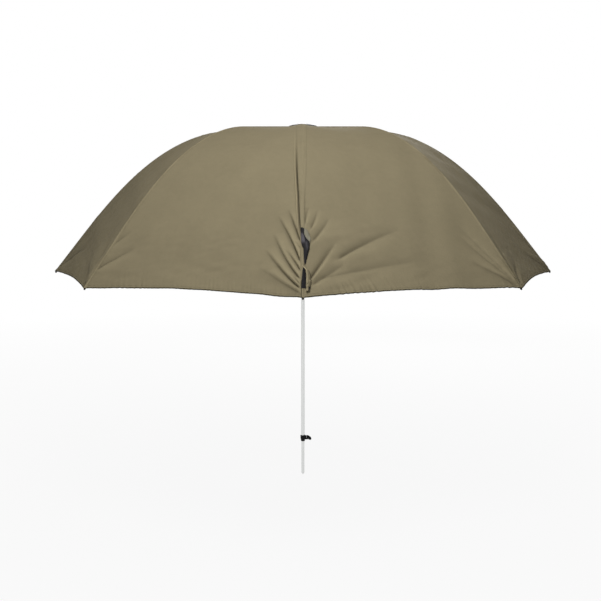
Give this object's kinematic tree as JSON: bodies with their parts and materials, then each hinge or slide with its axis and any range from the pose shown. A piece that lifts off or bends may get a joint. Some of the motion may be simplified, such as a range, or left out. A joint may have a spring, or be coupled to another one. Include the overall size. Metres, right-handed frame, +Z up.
{
  "type": "fishing umbrella",
  "caption": "Large fishing umbrella on a telescopic ground pole, with a sliding runner and stretchers that fold the ribs and the gored canopy down.",
  "frame": {"origin": "tip of the ground point, on the pole's axis, at ground level", "axes": "+Z up along the pole, -Y towards the viewer of the picture (rib 1 and the tie strap), +X to the viewer's right (the clamp's lever)"},
  "size_m": [2.4988, 2.4988, 1.7829],
  "materials": {
    "canopy_cloth": "khaki waterproof woven polyester, matt",
    "webbing": "black woven webbing and patch cloth",
    "aluminium": "pale anodised tube, satin",
    "black_plastic": "black moulded nylon, satin",
    "glass_fibre": "dark glass-fibre rod, semi-gloss",
    "steel": "zinc-plated steel"
  },
  "bodies": {
    "lower_pole": {"lower_pole": "aluminium", "pole_point": "aluminium"},
    "upper_pole": {"upper_pole": "aluminium", "clamp_collar": "black_plastic", "crown": "black_plastic", "crown_patch": "webbing", "crown_cap": "black_plastic"},
    "clamp_screw": {"clamp_screw": "black_plastic"},
    "open_catch": {"open_catch": "steel"},
    "runner": {"runner": "black_plastic"},
    "rib_1": {"rib_inner_1": "glass_fibre", "gore_inner_1": "canopy_cloth"},
    "rib_outer_1": {"rib_outer_1": "glass_fibre", "rib_tip_1": "black_plastic", "gore_outer_1": "canopy_cloth", "strap_upper": "webbing", "strap_lower": "canopy_cloth"},
    "stretcher_1": {"stretcher_1": "steel"},
    "rib_2": {"rib_inner_2": "glass_fibre", "gore_inner_2": "canopy_cloth"},
    "rib_outer_2": {"rib_outer_2": "glass_fibre", "rib_tip_2": "black_plastic", "gore_outer_2": "canopy_cloth"},
    "stretcher_2": {"stretcher_2": "steel"},
    "rib_3": {"rib_inner_3": "glass_fibre", "gore_inner_3": "canopy_cloth"},
    "rib_outer_3": {"rib_outer_3": "glass_fibre", "rib_tip_3": "black_plastic", "gore_outer_3": "canopy_cloth"},
    "stretcher_3": {"stretcher_3": "steel"},
    "rib_4": {"rib_inner_4": "glass_fibre", "gore_inner_4": "canopy_cloth"},
    "rib_outer_4": {"rib_outer_4": "glass_fibre", "rib_tip_4": "black_plastic", "gore_outer_4": "canopy_cloth"},
    "stretcher_4": {"stretcher_4": "steel"},
    "rib_5": {"rib_inner_5": "glass_fibre", "gore_inner_5": "canopy_cloth"},
    "rib_outer_5": {"rib_outer_5": "glass_fibre", "rib_tip_5": "black_plastic", "gore_outer_5": "canopy_cloth"},
    "stretcher_5": {"stretcher_5": "steel"},
    "rib_6": {"rib_inner_6": "glass_fibre", "gore_inner_6": "canopy_cloth"},
    "rib_outer_6": {"rib_outer_6": "glass_fibre", "rib_tip_6": "black_plastic", "gore_outer_6": "canopy_cloth"},
    "stretcher_6": {"stretcher_6": "steel"},
    "rib_7": {"rib_inner_7": "glass_fibre", "gore_inner_7": "canopy_cloth"},
    "rib_outer_7": {"rib_outer_7": "glass_fibre", "rib_tip_7": "black_plastic", "gore_outer_7": "canopy_cloth"},
    "stretcher_7": {"stretcher_7": "steel"},
    "rib_8": {"rib_inner_8": "glass_fibre", "gore_inner_8": "canopy_cloth"},
    "rib_outer_8": {"rib_outer_8": "glass_fibre", "rib_tip_8": "black_plastic", "gore_outer_8": "canopy_cloth"},
    "stretcher_8": {"stretcher_8": "steel"}
  },
  "joints": [
    {"name": "pole_slide", "type": "slide", "parent": "lower_pole", "child": "upper_pole", "axis": [0, 0, 1], "range_m": [-0.15, 0.5]},
    {"name": "clamp_turn", "type": "hinge", "parent": "upper_pole", "child": "clamp_screw", "pos_m": [0, 0, 0.1885], "axis": [1, 0, 0], "range_deg": [-300, 0]},
    {"name": "catch_press", "type": "slide", "parent": "upper_pole", "child": "open_catch", "axis": [0, 1, 0], "range_m": [0, 0.004], "stiffness_N_per_m": 800, "deforming": ["open_catch"]},
    {"name": "runner_slide", "type": "slide", "parent": "upper_pole", "child": "runner", "axis": [0, 0, 1], "range_m": [-0.7612, 0]},
    {"name": "rib_fold_1", "type": "hinge", "parent": "upper_pole", "child": "rib_1", "pos_m": [0, -0.02524, 1.75709], "axis": [1, 0, 0], "range_deg": [0, 78.09], "deforming": ["gore_inner_1"]},
    {"name": "rib_bend_1", "type": "hinge", "parent": "rib_1", "child": "rib_outer_1", "pos_m": [0, -0.58969, 1.68884], "axis": [1, 0, 0], "range_deg": [-32.81, 0], "deforming": ["gore_outer_1", "strap_upper", "strap_lower"]},
    {"name": "stretcher_turn_1", "type": "hinge", "parent": "rib_1", "child": "stretcher_1", "pos_m": [0, -0.57308, 1.68305], "axis": [1, 0, 0], "range_deg": [-130.33, 0]},
    {"name": "rib_fold_2", "type": "hinge", "parent": "upper_pole", "child": "rib_2", "pos_m": [0.01785, -0.01785, 1.75709], "axis": [0.7071, 0.7071, 0], "range_deg": [0, 78.09], "deforming": ["gore_inner_2"]},
    {"name": "rib_bend_2", "type": "hinge", "parent": "rib_2", "child": "rib_outer_2", "pos_m": [0.41697, -0.41697, 1.68884], "axis": [0.7071, 0.7071, 0], "range_deg": [-32.81, 0], "deforming": ["gore_outer_2"]},
    {"name": "stretcher_turn_2", "type": "hinge", "parent": "rib_2", "child": "stretcher_2", "pos_m": [0.40523, -0.40523, 1.68305], "axis": [0.7071, 0.7071, 0], "range_deg": [-130.33, 0]},
    {"name": "rib_fold_3", "type": "hinge", "parent": "upper_pole", "child": "rib_3", "pos_m": [0.02524, 0, 1.75709], "axis": [0, 1, 0], "range_deg": [0, 78.09], "deforming": ["gore_inner_3"]},
    {"name": "rib_bend_3", "type": "hinge", "parent": "rib_3", "child": "rib_outer_3", "pos_m": [0.58969, 0, 1.68884], "axis": [0, 1, 0], "range_deg": [-32.81, 0], "deforming": ["gore_outer_3"]},
    {"name": "stretcher_turn_3", "type": "hinge", "parent": "rib_3", "child": "stretcher_3", "pos_m": [0.57308, 0, 1.68305], "axis": [0, 1, 0], "range_deg": [-130.33, 0]},
    {"name": "rib_fold_4", "type": "hinge", "parent": "upper_pole", "child": "rib_4", "pos_m": [0.01785, 0.01785, 1.75709], "axis": [-0.7071, 0.7071, 0], "range_deg": [0, 78.09], "deforming": ["gore_inner_4"]},
    {"name": "rib_bend_4", "type": "hinge", "parent": "rib_4", "child": "rib_outer_4", "pos_m": [0.41697, 0.41697, 1.68884], "axis": [-0.7071, 0.7071, 0], "range_deg": [-32.81, 0], "deforming": ["gore_outer_4"]},
    {"name": "stretcher_turn_4", "type": "hinge", "parent": "rib_4", "child": "stretcher_4", "pos_m": [0.40523, 0.40523, 1.68305], "axis": [-0.7071, 0.7071, 0], "range_deg": [-130.33, 0]},
    {"name": "rib_fold_5", "type": "hinge", "parent": "upper_pole", "child": "rib_5", "pos_m": [0, 0.02524, 1.75709], "axis": [-1, 0, 0], "range_deg": [0, 78.09], "deforming": ["gore_inner_5"]},
    {"name": "rib_bend_5", "type": "hinge", "parent": "rib_5", "child": "rib_outer_5", "pos_m": [0, 0.58969, 1.68884], "axis": [-1, 0, 0], "range_deg": [-32.81, 0], "deforming": ["gore_outer_5"]},
    {"name": "stretcher_turn_5", "type": "hinge", "parent": "rib_5", "child": "stretcher_5", "pos_m": [0, 0.57308, 1.68305], "axis": [-1, 0, 0], "range_deg": [-130.33, 0]},
    {"name": "rib_fold_6", "type": "hinge", "parent": "upper_pole", "child": "rib_6", "pos_m": [-0.01785, 0.01785, 1.75709], "axis": [-0.7071, -0.7071, 0], "range_deg": [0, 78.09], "deforming": ["gore_inner_6"]},
    {"name": "rib_bend_6", "type": "hinge", "parent": "rib_6", "child": "rib_outer_6", "pos_m": [-0.41697, 0.41697, 1.68884], "axis": [-0.7071, -0.7071, 0], "range_deg": [-32.81, 0], "deforming": ["gore_outer_6"]},
    {"name": "stretcher_turn_6", "type": "hinge", "parent": "rib_6", "child": "stretcher_6", "pos_m": [-0.40523, 0.40523, 1.68305], "axis": [-0.7071, -0.7071, 0], "range_deg": [-130.33, 0]},
    {"name": "rib_fold_7", "type": "hinge", "parent": "upper_pole", "child": "rib_7", "pos_m": [-0.02524, 0, 1.75709], "axis": [0, -1, 0], "range_deg": [0, 78.09], "deforming": ["gore_inner_7"]},
    {"name": "rib_bend_7", "type": "hinge", "parent": "rib_7", "child": "rib_outer_7", "pos_m": [-0.58969, 0, 1.68884], "axis": [0, -1, 0], "range_deg": [-32.81, 0], "deforming": ["gore_outer_7"]},
    {"name": "stretcher_turn_7", "type": "hinge", "parent": "rib_7", "child": "stretcher_7", "pos_m": [-0.57308, 0, 1.68305], "axis": [0, -1, 0], "range_deg": [-130.33, 0]},
    {"name": "rib_fold_8", "type": "hinge", "parent": "upper_pole", "child": "rib_8", "pos_m": [-0.01785, -0.01785, 1.75709], "axis": [0.7071, -0.7071, 0], "range_deg": [0, 78.09], "deforming": ["gore_inner_8"]},
    {"name": "rib_bend_8", "type": "hinge", "parent": "rib_8", "child": "rib_outer_8", "pos_m": [-0.41697, -0.41697, 1.68884], "axis": [0.7071, -0.7071, 0], "range_deg": [-32.81, 0], "deforming": ["gore_outer_8"]},
    {"name": "stretcher_turn_8", "type": "hinge", "parent": "rib_8", "child": "stretcher_8", "pos_m": [-0.40523, -0.40523, 1.68305], "axis": [0.7071, -0.7071, 0], "range_deg": [-130.33, 0]}
  ],
  "couplings": [
    {"joint": "rib_fold_1", "follows": "runner_slide", "rad_per_m": -1.7902},
    {"joint": "rib_bend_1", "follows": "runner_slide", "rad_per_m": 0.75188},
    {"joint": "stretcher_turn_1", "follows": "runner_slide", "rad_per_m": 2.988},
    {"joint": "rib_fold_2", "follows": "runner_slide", "rad_per_m": -1.7902},
    {"joint": "rib_bend_2", "follows": "runner_slide", "rad_per_m": 0.75188},
    {"joint": "stretcher_turn_2", "follows": "runner_slide", "rad_per_m": 2.988},
    {"joint": "rib_fold_3", "follows": "runner_slide", "rad_per_m": -1.7902},
    {"joint": "rib_bend_3", "follows": "runner_slide", "rad_per_m": 0.75188},
    {"joint": "stretcher_turn_3", "follows": "runner_slide", "rad_per_m": 2.988},
    {"joint": "rib_fold_4", "follows": "runner_slide", "rad_per_m": -1.7902},
    {"joint": "rib_bend_4", "follows": "runner_slide", "rad_per_m": 0.75188},
    {"joint": "stretcher_turn_4", "follows": "runner_slide", "rad_per_m": 2.988},
    {"joint": "rib_fold_5", "follows": "runner_slide", "rad_per_m": -1.7902},
    {"joint": "rib_bend_5", "follows": "runner_slide", "rad_per_m": 0.75188},
    {"joint": "stretcher_turn_5", "follows": "runner_slide", "rad_per_m": 2.988},
    {"joint": "rib_fold_6", "follows": "runner_slide", "rad_per_m": -1.7902},
    {"joint": "rib_bend_6", "follows": "runner_slide", "rad_per_m": 0.75188},
    {"joint": "stretcher_turn_6", "follows": "runner_slide", "rad_per_m": 2.988},
    {"joint": "rib_fold_7", "follows": "runner_slide", "rad_per_m": -1.7902},
    {"joint": "rib_bend_7", "follows": "runner_slide", "rad_per_m": 0.75188},
    {"joint": "stretcher_turn_7", "follows": "runner_slide", "rad_per_m": 2.988},
    {"joint": "rib_fold_8", "follows": "runner_slide", "rad_per_m": -1.7902},
    {"joint": "rib_bend_8", "follows": "runner_slide", "rad_per_m": 0.75188},
    {"joint": "stretcher_turn_8", "follows": "runner_slide", "rad_per_m": 2.988}
  ]
}
